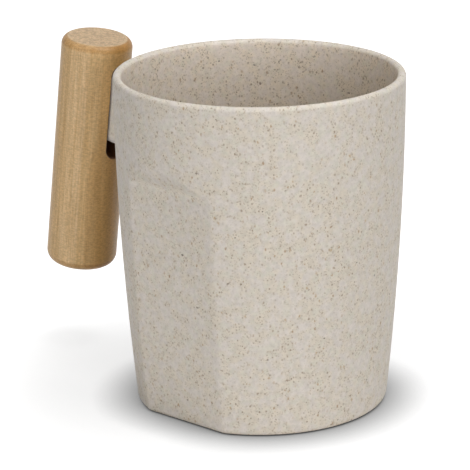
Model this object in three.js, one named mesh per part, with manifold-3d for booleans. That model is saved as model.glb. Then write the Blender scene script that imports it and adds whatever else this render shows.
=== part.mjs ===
// Coffee mug: a moulded plant-fibre cup with two flats on its sides and a turned wooden bar handle.
// Millimetres, +Z up. The origin is the centre of the underside, on the cup's axis. The handle is on the -X
// side, and the flats face -Y and +Y.

import * as THREE from 'three';
import { mergeVertices } from 'three/addons/utils/BufferGeometryUtils.js';
import Module from 'manifold-3d';

// Cup, round part
const cupHeight = 100;
const rimRadius = 43; // outside, at the top
const baseRadius = 37.5; // outside of the wall, drawn down to the table
const wallBow = 1.3; // how far the wall swells past a straight cone at half height
const wallThickness = 2.5;
const floorThickness = 3;
const footRounding = 2; // outside, between wall and underside
const innerCornerRadius = 6; // inside, between wall and floor

// Underside: a centre pad and a foot ring, level with each other, with a shallow relief between them
const centrePadRadius = 12;
const footRingWidth = 4; // at the flats, where the ring is narrowest
const reliefDepth = 0.6;

// Flats on the two sides, straight across and following the wall's bow along their height
const flatDepth = 3.1; // below the round wall
const flatDrop = 27.6; // from the rim down to the flat's upper edge
const flatRunout = 6; // height of the slope that leads out to the round wall

// Wooden handle
const handleDiameter = 22;
const handleLength = 74.5;
const handleTilt = 7.8; // degrees, lower end outwards
const handleRise = 0.6; // middle of the upper end, above the rim
const gripGap = 15.4; // between wall and wood, at the tongue's middle
const endAcross = 2; // rounded edge of each end, across the wood
const endAlong = 2.4; // and along it
const endSwell = 0.5; // how far that edge stands out from a straight chamfer

// Tongue on the cup, and the slot for it in the wood
const tongueFromTop = 11.4; // from the handle's upper end, along the handle
const tongueHeight = 20.1;
const tongueDepth = 10; // inside the wood
const tongueEdge = 0.8; // rounding of the edges around the tongue's tip
const slotWidth = 6.2;
const slotEndGap = 2; // straight stretch of slot past each end of the tongue
const fitClearance = 0.3; // between pieces that sit in one another

// Screws that hold the tongue, and the plugs over them
const screwSpacing = 9;
const screwDiameter = 2.9;
const screwLength = 14; // under the head
const screwPoint = 3; // length of the tapered tip
const screwHeadDiameter = 5.6;
const screwHeadHeight = 2;
const screwHeadBevel = 0.8; // around the top of the head
const driveSize = 2.6; // hexagonal recess, across corners
const driveDepth = 1.2;
const plugLength = 4; // from the outermost line of the wood
const pilotSpare = 1; // pilot hole past the screw's tip

// Smoothness
const cupSides = 64;
const handleSides = 48;
const holeSides = 24;
const wallSteps = 10;
const roundSteps = 5;
const edgeSteps = 3;
const driveSides = 6;
const weldDistance = 1e-5; // corners closer than this are one corner
const overcut = 1; // how far a cutting shape passes the face that it opens

const wasm = await Module();
wasm.setup();

const composite = new THREE.MeshStandardMaterial({ color: 0xc9c1b4, roughness: 0.62, metalness: 0 });
const maple = new THREE.MeshStandardMaterial({ color: 0xb8925f, roughness: 0.55, metalness: 0 });
const plugWood = new THREE.MeshStandardMaterial({ color: 0xa8824f, roughness: 0.58, metalness: 0 });
const steel = new THREE.MeshStandardMaterial({ color: 0xb9bcc0, roughness: 0.3, metalness: 1 });

// Values that follow from the driving dimensions
const handleRadius = handleDiameter / 2;
const tilt = THREE.MathUtils.degToRad(handleTilt);
const flatTop = cupHeight - flatDrop;
const tongueMiddle = tongueFromTop + tongueHeight / 2;
const tongueWidth = slotWidth - 2 * fitClearance;
const tongueTip = handleRadius - tongueDepth;
const slotFloor = tongueTip - fitClearance;
const plugEnd = plugLength - handleRadius;
const headTop = plugEnd + fitClearance;
const headUnder = headTop + screwHeadHeight;
const headSeat = headUnder + fitClearance;
const screwTip = headUnder + screwLength;
const counterboreRadius = screwHeadDiameter / 2 + fitClearance;
const screwHoleRadius = screwDiameter / 2 + fitClearance;
const screwPlaces = [screwSpacing / 2, -screwSpacing / 2];
const outside = 2 * rimRadius; // beyond every piece, for cutting shapes

// Outside radius of the round wall at height z
function wallRadius(z) {
  const share = z / cupHeight;
  return baseRadius + (rimRadius - baseRadius) * share + 4 * wallBow * share * (1 - share);
}

// Distance of a flat from the cup's axis at height z
function flatDistance(z) {
  return wallRadius(z) - flatDepth;
}

// Heights from one end of a stretch to the other
function heights(from, to, steps) {
  return Array.from({ length: steps + 1 }, (_, i) => from + ((to - from) * i) / steps);
}

// Points on an arc, with angles in degrees from the first axis
function arc(centre, radius, from, to, steps) {
  return heights(from, to, steps).map((angle) => {
    const turn = THREE.MathUtils.degToRad(angle);
    return new THREE.Vector2(centre.x + radius * Math.cos(turn), centre.y + radius * Math.sin(turn));
  });
}

// Points from one place of a profile to another, standing out from the straight line to its right
function swollenEdge(from, to, swell, steps) {
  const way = new THREE.Vector2().subVectors(to, from);
  const out = new THREE.Vector2(way.y, -way.x).normalize();
  return heights(0, 1, steps).map((share) => {
    const place = from.clone().addScaledVector(way, share);
    return place.addScaledVector(out, 4 * swell * share * (1 - share));
  });
}

// Body of revolution about Z, from a profile of (radius, height) points that starts and ends on the axis
function turned(profile, sides) {
  return new THREE.LatheGeometry(profile, sides).rotateX(Math.PI / 2);
}

// Round bar along X, between two places on it
function bar(radius, from, to, sides) {
  const geometry = new THREE.CylinderGeometry(radius, radius, to - from, sides).rotateZ(-Math.PI / 2);
  return geometry.translate((from + to) / 2, 0, 0);
}

// Closed solid for joining and cutting, with shared corners merged and empty triangles at the poles left out
function solid(geometry) {
  const bare = geometry.clone();
  bare.deleteAttribute('normal');
  bare.deleteAttribute('uv');
  const merged = mergeVertices(bare, weldDistance);
  const corners = merged.index.array;
  const triangles = [];
  for (let i = 0; i < corners.length; i += 3) {
    const [a, b, c] = corners.slice(i, i + 3);
    if (a !== b && b !== c && c !== a) triangles.push(a, b, c);
  }
  const mesh = new wasm.Mesh({
    numProp: 3,
    vertProperties: new Float32Array(merged.attributes.position.array),
    triVerts: new Uint32Array(triangles),
  });
  mesh.merge();
  return new wasm.Manifold(mesh);
}

// Named mesh from a joined and cut solid
function piece(name, body, material) {
  const result = body.getMesh();
  const geometry = new THREE.BufferGeometry();
  geometry.setAttribute('position', new THREE.BufferAttribute(result.vertProperties, 3));
  geometry.setIndex(new THREE.BufferAttribute(result.triVerts, 1));
  geometry.computeVertexNormals();
  const mesh = new THREE.Mesh(geometry, material);
  mesh.name = name;
  return mesh;
}

// The handle's own frame: origin on its axis beside the tongue's middle, Z along the wood, X towards the cup
const handleFrame = new THREE.Group();
const handleHeight = cupHeight + handleRise - tongueMiddle * Math.cos(tilt);
const handleReach = wallRadius(handleHeight) + gripGap + handleRadius / Math.cos(tilt);
handleFrame.position.set(-handleReach, 0, handleHeight);
handleFrame.rotation.y = tilt;
handleFrame.updateMatrix();

// Cup without its flats: underside, wall, lip, inside and floor as one profile
function roundCup() {
  const footCentre = new THREE.Vector2(wallRadius(footRounding) - footRounding, footRounding);
  const reliefRadius = flatDistance(0) - footRounding - footRingWidth;
  const lipRadius = wallThickness / 2;
  const lipHeight = cupHeight - lipRadius;
  const lipCentre = new THREE.Vector2(wallRadius(lipHeight) - lipRadius, lipHeight);
  const cornerHeight = floorThickness + innerCornerRadius;
  const cornerReach = wallRadius(cornerHeight) - wallThickness - innerCornerRadius;
  const outer = heights(footRounding, lipHeight, wallSteps);
  const inner = heights(lipHeight, cornerHeight, wallSteps);
  const profile = [
    new THREE.Vector2(0, 0),
    new THREE.Vector2(centrePadRadius, 0),
    new THREE.Vector2(centrePadRadius + reliefDepth, reliefDepth),
    new THREE.Vector2(reliefRadius - reliefDepth, reliefDepth),
    new THREE.Vector2(reliefRadius, 0),
    ...arc(footCentre, footRounding, -90, 0, roundSteps).slice(0, -1),
    ...outer.slice(0, -1).map((z) => new THREE.Vector2(wallRadius(z), z)),
    ...arc(lipCentre, lipRadius, 0, 180, 2 * roundSteps).slice(0, -1),
    ...inner.slice(0, -1).map((z) => new THREE.Vector2(wallRadius(z) - wallThickness, z)),
    ...arc(new THREE.Vector2(cornerReach, cornerHeight), innerCornerRadius, 0, -90, roundSteps),
    new THREE.Vector2(0, floorThickness),
  ];
  return solid(turned(profile, cupSides));
}

// Core that reaches half way into the wall, for joining what lies against the wall
function wallCore(top) {
  const bottom = floorThickness / 2;
  const profile = [
    new THREE.Vector2(0, bottom),
    ...heights(bottom, top, wallSteps).map((z) => new THREE.Vector2(wallRadius(z) - wallThickness / 2, z)),
    new THREE.Vector2(0, top),
  ];
  return solid(turned(profile, cupSides));
}

// Block outside one flat, set inwards by a distance, with a rounded foot at a height. side is -1 or 1.
function flatBlock(side, inset, foot, footRadius) {
  const face = (z) => flatDistance(z) - inset;
  const start = foot + footRadius;
  const slopeTop = flatTop + flatRunout;
  const slopeOut = wallRadius(slopeTop) - flatDistance(flatTop);
  const stretch = (outside - face(flatTop)) / slopeOut;
  const footCentre = new THREE.Vector2(face(start) - footRadius, start);
  const outline = new THREE.Shape([
    new THREE.Vector2(outside, foot - wallThickness),
    new THREE.Vector2(face(start) - footRadius, foot - wallThickness),
    ...arc(footCentre, footRadius, -90, 0, roundSteps).slice(0, -1),
    ...heights(start, flatTop, wallSteps).map((z) => new THREE.Vector2(face(z), z)),
    new THREE.Vector2(outside, flatTop + flatRunout * stretch),
  ]);
  const block = new THREE.ExtrudeGeometry(outline, { depth: 2 * outside, bevelEnabled: false });
  block.translate(0, 0, -outside).rotateX(Math.PI / 2).rotateZ((side * Math.PI) / 2);
  return solid(block);
}

// Tongue with round ends like the slot's, from the wood to the middle of the wall, turned into the cup's frame
function tongue() {
  const straight = (tongueHeight - tongueWidth) / 2;
  const round = tongueWidth / 2 - tongueEdge;
  const outline = new THREE.Shape([
    ...arc(new THREE.Vector2(0, straight), round, 0, 180, 2 * roundSteps),
    ...arc(new THREE.Vector2(0, -straight), round, 180, 360, 2 * roundSteps),
  ]);
  const plate = new THREE.ExtrudeGeometry(outline, {
    depth: handleReach - tongueTip - tongueEdge,
    bevelThickness: tongueEdge,
    bevelSize: tongueEdge,
    bevelSegments: edgeSteps,
  });
  plate.rotateX(Math.PI / 2).rotateZ(Math.PI / 2).translate(tongueTip + tongueEdge, 0, 0);
  let body = solid(plate);
  for (const place of screwPlaces) {
    const pilot = bar(screwHoleRadius, tongueTip - overcut, screwTip + pilotSpare, holeSides);
    body = body.subtract(solid(pilot.translate(0, 0, place)));
  }
  return body.transform(handleFrame.matrix.toArray()).subtract(wallCore(cupHeight));
}

function cupBody() {
  let cup = roundCup();
  for (const side of [-1, 1]) {
    const lining = flatBlock(side, wallThickness, floorThickness, innerCornerRadius);
    cup = cup.add(wallCore(flatTop + 2 * flatRunout).intersect(lining));
  }
  for (const side of [-1, 1]) cup = cup.subtract(flatBlock(side, 0, 0, footRounding));
  return piece('cup_body', cup.add(tongue()), composite);
}

// Turned bar before it is slotted and drilled
function handleBlank() {
  const top = tongueMiddle;
  const bottom = tongueMiddle - handleLength;
  const lower = [
    new THREE.Vector2(handleRadius - endAcross, bottom),
    new THREE.Vector2(handleRadius, bottom + endAlong),
  ];
  const upper = [
    new THREE.Vector2(handleRadius, top - endAlong),
    new THREE.Vector2(handleRadius - endAcross, top),
  ];
  const profile = [
    new THREE.Vector2(0, bottom),
    ...swollenEdge(...lower, endSwell, edgeSteps),
    ...swollenEdge(...upper, endSwell, edgeSteps),
    new THREE.Vector2(0, top),
  ];
  return solid(turned(profile, handleSides));
}

// Slot with round ends, as a router leaves it
function slot() {
  const straight = tongueHeight / 2 + slotEndGap;
  const round = slotWidth / 2;
  const outline = new THREE.Shape([
    ...arc(new THREE.Vector2(0, straight), round, 0, 180, 2 * roundSteps),
    ...arc(new THREE.Vector2(0, -straight), round, 180, 360, 2 * roundSteps),
  ]);
  const cutter = new THREE.ExtrudeGeometry(outline, { depth: handleDiameter, bevelEnabled: false });
  return solid(cutter.rotateX(Math.PI / 2).rotateZ(Math.PI / 2).translate(slotFloor, 0, 0));
}

function handle() {
  let wood = handleBlank().subtract(slot());
  for (const place of screwPlaces) {
    const counterbore = bar(counterboreRadius, -handleDiameter, headSeat, holeSides);
    const clearanceHole = bar(screwHoleRadius, headSeat - overcut, slotFloor + overcut, holeSides);
    wood = wood.subtract(solid(counterbore.translate(0, 0, place)));
    wood = wood.subtract(solid(clearanceHole.translate(0, 0, place)));
  }
  return piece('handle', wood, maple);
}

// Pan-head screw with a tapered tip and a hexagonal recess, lying along X with its tip towards the cup
function screw(name, place) {
  const head = screwHeadDiameter / 2;
  const shank = screwDiameter / 2;
  const profile = [
    new THREE.Vector2(0, headTop),
    new THREE.Vector2(head - screwHeadBevel, headTop),
    new THREE.Vector2(head, headTop + screwHeadBevel),
    new THREE.Vector2(head, headUnder),
    new THREE.Vector2(shank, headUnder),
    new THREE.Vector2(shank, screwTip - screwPoint),
    new THREE.Vector2(0, screwTip),
  ];
  const body = turned(profile, holeSides).rotateY(Math.PI / 2);
  const drive = bar(driveSize / 2, headTop - overcut, headTop + driveDepth, driveSides);
  const mesh = piece(name, solid(body).subtract(solid(drive)), steel);
  mesh.position.z = place;
  return mesh;
}

// Plug over a screw, trimmed to the round of the handle
function plug(name, place) {
  const stock = bar(counterboreRadius - fitClearance / 2, -handleDiameter, plugEnd, holeSides);
  const trimmed = solid(stock.translate(0, 0, place)).intersect(handleBlank());
  return piece(name, trimmed, plugWood);
}

const [upper, lower] = screwPlaces;
handleFrame.add(
  handle(),
  screw('upper_screw', upper),
  screw('lower_screw', lower),
  plug('upper_plug', upper),
  plug('lower_plug', lower),
);

const mug = new THREE.Group();
mug.add(cupBody(), handleFrame);

export default mug;
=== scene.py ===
"""Looks of a coffee mug: a speckled moulded cup that carries a turned wooden bar on a tongue.

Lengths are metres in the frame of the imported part. The origin is the centre of the underside, +Z is up, the
bar stands on the -X side and the cup's two flats face -Y and +Y.
"""

import logging
import math
from collections.abc import Callable, Iterable
from dataclasses import dataclass, field
from enum import Enum
from typing import Any

import bmesh
import bpy
import numpy as np
from mathutils import Matrix, Vector


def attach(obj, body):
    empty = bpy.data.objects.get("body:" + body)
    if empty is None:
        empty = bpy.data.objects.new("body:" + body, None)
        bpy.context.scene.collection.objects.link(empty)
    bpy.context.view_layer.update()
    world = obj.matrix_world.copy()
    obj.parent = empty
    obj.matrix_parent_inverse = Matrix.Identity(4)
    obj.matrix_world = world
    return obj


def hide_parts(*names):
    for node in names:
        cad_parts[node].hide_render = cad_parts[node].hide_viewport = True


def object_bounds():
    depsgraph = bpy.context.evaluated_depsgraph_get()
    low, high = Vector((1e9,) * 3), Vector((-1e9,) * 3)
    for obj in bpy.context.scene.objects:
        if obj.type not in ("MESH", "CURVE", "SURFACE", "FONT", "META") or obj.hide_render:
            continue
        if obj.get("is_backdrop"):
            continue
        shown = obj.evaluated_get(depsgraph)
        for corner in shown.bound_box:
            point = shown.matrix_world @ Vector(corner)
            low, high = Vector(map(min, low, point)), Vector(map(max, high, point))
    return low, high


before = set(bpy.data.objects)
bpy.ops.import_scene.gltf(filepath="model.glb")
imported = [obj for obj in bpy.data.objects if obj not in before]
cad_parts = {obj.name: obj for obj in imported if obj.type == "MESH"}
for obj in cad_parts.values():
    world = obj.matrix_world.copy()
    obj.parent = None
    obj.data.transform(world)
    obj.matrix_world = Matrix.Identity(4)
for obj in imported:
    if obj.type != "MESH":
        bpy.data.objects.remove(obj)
CAD_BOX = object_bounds()
LOG = logging.getLogger("mug")
MM = 0.001

Triple = tuple[float, float, float]
Colour = Triple
Span = tuple[float, float]
Socket = bpy.types.NodeSocket
RingMaker = Callable[[Any, float], np.ndarray]


class Mark(Enum):
    """Numbers that a mesh holds for each of its points, for a finish to read."""

    END_GRAIN = "end_grain"
    INSIDE = "inside"
    ARRIS = "arris"
    CREASE = "crease"


class Slot(Enum):
    """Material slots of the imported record."""

    COMPOSITE = "composite"
    HANDLE_WOOD = "handle_wood"
    PLUG_WOOD = "plug_wood"
    SCREW_STEEL = "screw_steel"


def spans(*stretches: tuple[float, float, int]) -> np.ndarray:
    """Lay out steps that are finer where the form needs it.

    Args:
        stretches: start, end and number of steps of each stretch, end to end.

    Returns:
        All the steps in order, each once.
    """
    parts = [np.linspace(start, end, count, endpoint=False) for start, end, count in stretches]
    return np.concatenate(parts + [np.array([stretches[-1][1]])])


def shares(steps: int) -> np.ndarray:
    """Give the shares of a stretch after its start, in the given number of steps."""
    return np.linspace(0, 1, steps + 1)[1:]


def quarter_turn(steps: int) -> np.ndarray:
    """Give the angles of a quarter turn after its start, in the given number of steps."""
    return np.linspace(0, math.pi / 2, steps + 1)[1:]


def soft_min(first: np.ndarray, second: np.ndarray, blend: float) -> np.ndarray:
    """Take the lesser of two lengths, rounding the corner where they meet.

    Args:
        first: one set of lengths.
        second: the other set.
        blend: the difference below which the two are blended.

    Returns:
        The blended lesser lengths.
    """
    overlap = np.maximum(blend - np.abs(first - second), 0)
    return np.minimum(first, second) - overlap**2 / (4 * blend)


def eased(corners: list[tuple[float, float]], ease: float, steps: int) -> np.ndarray:
    """Round the corners of an open outline.

    Args:
        corners: the outline's points.
        ease: how far from each corner its rounding starts.
        steps: steps in each rounding.

    Returns:
        The outline's points with every corner but the ends rounded.
    """
    path = [np.array(corners[0])]
    for before, corner, after in zip(corners, corners[1:], corners[2:]):
        corner = np.array(corner)
        towards = [np.array(end) - corner for end in (before, after)]
        first, last = [corner + way * ease / np.linalg.norm(way) for way in towards]
        for share in np.linspace(0, 1, steps + 1):
            path.append((1 - share) ** 2 * first + 2 * share * (1 - share) * corner + share**2 * last)
    path.append(np.array(corners[-1]))
    return np.array(path)


def divided(path: np.ndarray, step: float) -> np.ndarray:
    """Divide the long stretches of an outline.

    Args:
        path: the outline's points.
        step: the longest stretch that stays whole.

    Returns:
        The outline with points added along its long stretches.
    """
    places = [path[:1]]
    for start, end in zip(path, path[1:]):
        count = max(1, math.ceil(np.linalg.norm(end - start) / step))
        places.append(start + (end - start) * shares(count)[:, None])
    return np.concatenate(places)


@dataclass
class Skin:
    """A mesh in the making: points with their marks, faces, and plates that have holes."""

    points: list[tuple[float, ...]] = field(default_factory=list)
    marks: dict[Mark, list[float]] = field(default_factory=lambda: {mark: [] for mark in Mark})
    faces: list[tuple[int, ...]] = field(default_factory=list)
    plates: list[list[list[int]]] = field(default_factory=list)

    def row(self, places: np.ndarray, marks: dict[Mark, Any] | None = None) -> list[int]:
        """Add a row of points.

        Args:
            places: the points, one a line.
            marks: the marks that they carry, each one number for all of them or one for each.

        Returns:
            The points' numbers.
        """
        start = len(self.points)
        self.points.extend(tuple(map(float, place)) for place in places)
        for mark, values in self.marks.items():
            values.extend(np.broadcast_to((marks or {}).get(mark, 0.0), len(places)).tolist())
        return list(range(start, len(self.points)))

    def band(self, lower: list[int], upper: list[int], skipped: Iterable[int] = ()) -> None:
        """Join two closed rows of the same length, leaving out the columns of a window."""
        count = len(lower)
        for i in set(range(count)) - set(skipped):
            j = (i + 1) % count
            self.faces.append((lower[i], lower[j], upper[j], upper[i]))

    def fan(self, row: list[int], centre: np.ndarray, marks: dict[Mark, float] | None = None) -> None:
        """Close a row with triangles to one point."""
        (middle,) = self.row(centre[None], marks)
        for i, j in zip(row, row[1:] + row[:1]):
            self.faces.append((i, j, middle))

    def run(
        self,
        start: list[int],
        rings: list[np.ndarray],
        marks: dict[Mark, float] | None = None,
    ) -> list[int]:
        """Carry a closed row on through more rows.

        Args:
            start: the numbers of the row to start from.
            rings: the points of each next row.
            marks: the marks of the new points.

        Returns:
            The numbers of the last row.
        """
        last = start
        for ring in rings:
            row = self.row(ring, marks)
            self.band(last, row)
            last = row
        return last

    def window(self, rows: list[list[int]], columns: range) -> list[int]:
        """Give the numbers round a window in a grid of rows.

        Args:
            rows: the rows from the window's lower edge to its upper edge.
            columns: the columns that the window leaves out.

        Returns:
            The numbers of the points on its edge, in order.
        """
        left, right = columns.start, columns.stop
        sides = rows[1:-1]
        lower = rows[0][left:right + 1]
        upper = rows[-1][left:right + 1]
        return lower + [row[right] for row in sides] + upper[::-1] + [row[left] for row in sides[::-1]]

    def at(self, row: list[int]) -> np.ndarray:
        """Give the places of numbered points, one a line."""
        return np.array([self.points[i] for i in row])

    def mesh(self, name: str, sharp_angle: float) -> bpy.types.Mesh:
        """Make the mesh, smooth but for edges sharper than an angle.

        Args:
            name: the mesh's name.
            sharp_angle: the angle between faces, in degrees, above which an edge stays sharp.

        Returns:
            The closed mesh with its marks.
        """
        form = bmesh.new()
        corners = [form.verts.new(point) for point in self.points]
        for face in self.faces:
            form.faces.new([corners[i] for i in face])
        for plate in self.plates:
            edges = []
            for loop in plate:
                for i, j in zip(loop, loop[1:] + loop[:1]):
                    pair = (corners[i], corners[j])
                    edges.append(form.edges.get(pair) or form.edges.new(pair))
            bmesh.ops.triangle_fill(form, use_beauty=True, use_dissolve=False, edges=edges)
        bmesh.ops.recalc_face_normals(form, faces=form.faces[:])
        mesh = bpy.data.meshes.new(name)
        form.to_mesh(mesh)
        form.free()
        for mark, values in self.marks.items():
            mesh.attributes.new(mark.value, "FLOAT", "POINT").data.foreach_set("value", values)
        mesh.shade_smooth()
        mesh.set_sharp_from_angle(angle=math.radians(sharp_angle))
        return mesh


def add_piece(skin: Skin, node: str, slot: Slot, material: bpy.types.Material, place: Matrix) -> None:
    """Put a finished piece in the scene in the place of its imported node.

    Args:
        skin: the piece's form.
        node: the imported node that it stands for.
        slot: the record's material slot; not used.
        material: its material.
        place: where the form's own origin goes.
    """
    sharp_angle = 35
    mesh = skin.mesh(node + "_form", sharp_angle)
    mesh.transform(place)
    mesh.materials.append(material)
    piece = bpy.data.objects.new(mesh.name, mesh)
    bpy.context.scene.collection.objects.link(piece)
    bpy.context.view_layer.update()
    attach(piece, "root")
    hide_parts(node)
    LOG.info("%s: %d points, %d faces", piece.name, len(mesh.vertices), len(mesh.polygons))


class Shading:
    """A material's node tree, with short calls for the nodes that the finishes share."""

    def __init__(self, name: str, place: Matrix = Matrix()) -> None:
        """Start a material with one plain shader, and its patterns in the frame of the given place."""
        self.material = bpy.data.materials.new(name)
        self.material.use_nodes = True
        self.tree = self.material.node_tree
        self.shader = self.tree.nodes["Principled BSDF"]
        back = place.inverted()
        inputs = {
            "Vector": self.node("ShaderNodeTexCoord").outputs["Object"],
            "Location": back.to_translation(),
            "Rotation": back.to_euler(),
        }
        self.place = self.node("ShaderNodeMapping", inputs).outputs[0]

    def node(self, kind: str, inputs: dict[Any, Any] | None = None, **settings: Any) -> bpy.types.Node:
        """Add a node.

        Args:
            kind: the node's type.
            inputs: values or other nodes' outputs, by input name or number.
            settings: the node's own settings.

        Returns:
            The node.
        """
        node = self.tree.nodes.new(kind)
        for name, value in settings.items():
            setattr(node, name, value)
        for key, value in (inputs or {}).items():
            if isinstance(value, Socket):
                self.tree.links.new(value, node.inputs[key])
            else:
                node.inputs[key].default_value = value
        return node

    def math(self, operation: str, *values: Any) -> Socket:
        """Work out one number from others."""
        return self.node("ShaderNodeMath", dict(enumerate(values)), operation=operation).outputs[0]

    def scaled(
        self,
        cell: Triple,
        turn: Triple = (0, 0, 0),
        shift: Triple = (0, 0, 0),
        places: Socket | None = None,
    ) -> Socket:
        """Give places counted in cells of a pattern.

        Args:
            cell: the cell's size along each axis.
            turn: how far the pattern is turned, in degrees.
            shift: how far the pattern is moved, in cells.
            places: the places to count, if not the material's own.

        Returns:
            The places, for a texture to read.
        """
        inputs = {
            "Vector": places or self.place,
            "Rotation": tuple(map(math.radians, turn)),
            "Scale": tuple(1 / size for size in cell),
            "Location": shift,
        }
        return self.node("ShaderNodeMapping", inputs).outputs[0]

    def noise(
        self,
        cell: Triple,
        detail: float = 2,
        roughness: float = 0.5,
        shift: Triple = (0, 0, 0),
    ) -> Socket:
        """Give soft noise.

        Args:
            cell: the size of its cells along each axis.
            detail: how many times finer noise is added.
            roughness: how strong the finer noise is.
            shift: how far the noise is moved, in cells.

        Returns:
            The noise, from 0 to 1.
        """
        inputs = {
            "Vector": self.scaled(cell, shift=shift),
            "Scale": 1.0,
            "Detail": detail,
            "Roughness": roughness,
        }
        return self.node("ShaderNodeTexNoise", inputs).outputs["Fac"]

    def warped(self, cell: float, reach: float) -> Socket:
        """Give places that wander by up to half a reach, for ragged outlines."""
        inputs = {"Vector": self.scaled((cell,) * 3), "Scale": 1.0, "Detail": 1.0}
        drift = self.node("ShaderNodeTexNoise", inputs).outputs["Color"]
        inputs = {0: drift, 1: (reach,) * 3, 2: (-reach / 2,) * 3}
        step = self.node("ShaderNodeVectorMath", inputs, operation="MULTIPLY_ADD").outputs[0]
        return self.node("ShaderNodeVectorMath", {0: self.place, 1: step}, operation="ADD").outputs[0]

    def lit(self, colour: Any, level: Socket) -> Socket:
        """Make a colour paler or deeper by a level."""
        grey = self.node("ShaderNodeCombineColor", {0: level, 1: level, 2: level}).outputs[0]
        return self.mix(1.0, colour, grey, "MULTIPLY")

    def ramp(self, value: Any, low: Any, high: Any, start: Any = 0.0, end: Any = 1.0) -> Socket:
        """Carry a value smoothly from one range to another.

        Args:
            value: the value.
            low: where the change starts.
            high: where it ends.
            start: the result below low.
            end: the result above high.

        Returns:
            The result.
        """
        inputs = {"Value": value, "From Min": low, "From Max": high, "To Min": start, "To Max": end}
        return self.node("ShaderNodeMapRange", inputs, interpolation_type="SMOOTHSTEP").outputs["Result"]

    def rise_and_fall(self, value: Socket, rise: Span, fall: Span, most: float) -> Socket:
        """Give a band that rises from 0 over one range of a value and falls back to 0 over another.

        Args:
            value: the value.
            rise: where the band rises.
            fall: where it falls.
            most: how high it is between them.

        Returns:
            The band's height.
        """
        risen = self.ramp(value, *rise)
        fallen = self.ramp(value, *fall, 1.0, 0.0)
        return self.math("MULTIPLY", self.math("MULTIPLY", risen, fallen), most)

    def mix(self, share: Any, first: Any, second: Any, blend: str = "MIX") -> Socket:
        """Mix two colours.

        Args:
            share: how much of the second.
            first: the first colour.
            second: the second colour.
            blend: the way of mixing.

        Returns:
            The mixed colour.
        """
        colours = [(*c, 1.0) if isinstance(c, tuple) else c for c in (first, second)]
        inputs = {0: share, 6: colours[0], 7: colours[1]}
        return self.node("ShaderNodeMix", inputs, data_type="RGBA", blend_type=blend).outputs[2]

    def mark(self, mark: Mark) -> Socket:
        """Read one of the mesh's marks."""
        return self.node("ShaderNodeAttribute", attribute_name=mark.value).outputs["Fac"]

    def bump(self, height: Any, depth: float) -> None:
        """Raise the surface by a height that goes from 0 to 1, over the given depth."""
        inputs = {"Height": height, "Distance": depth, "Strength": 1.0}
        self.put("Normal", self.node("ShaderNodeBump", inputs).outputs[0])

    def put(self, name: str, value: Any) -> None:
        """Set or link one of the shader's own sockets."""
        if isinstance(value, Socket):
            self.tree.links.new(value, self.shader.inputs[name])
        else:
            self.shader.inputs[name].default_value = (*value, 1.0) if isinstance(value, tuple) else value


@dataclass(frozen=True)
class Flecks:
    """One kind of fleck in the composite."""

    spacing: float
    smallest: float
    largest: float
    stretch: Triple
    turn: Triple
    pale: Colour
    deep: Colour
    strength: float


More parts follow.
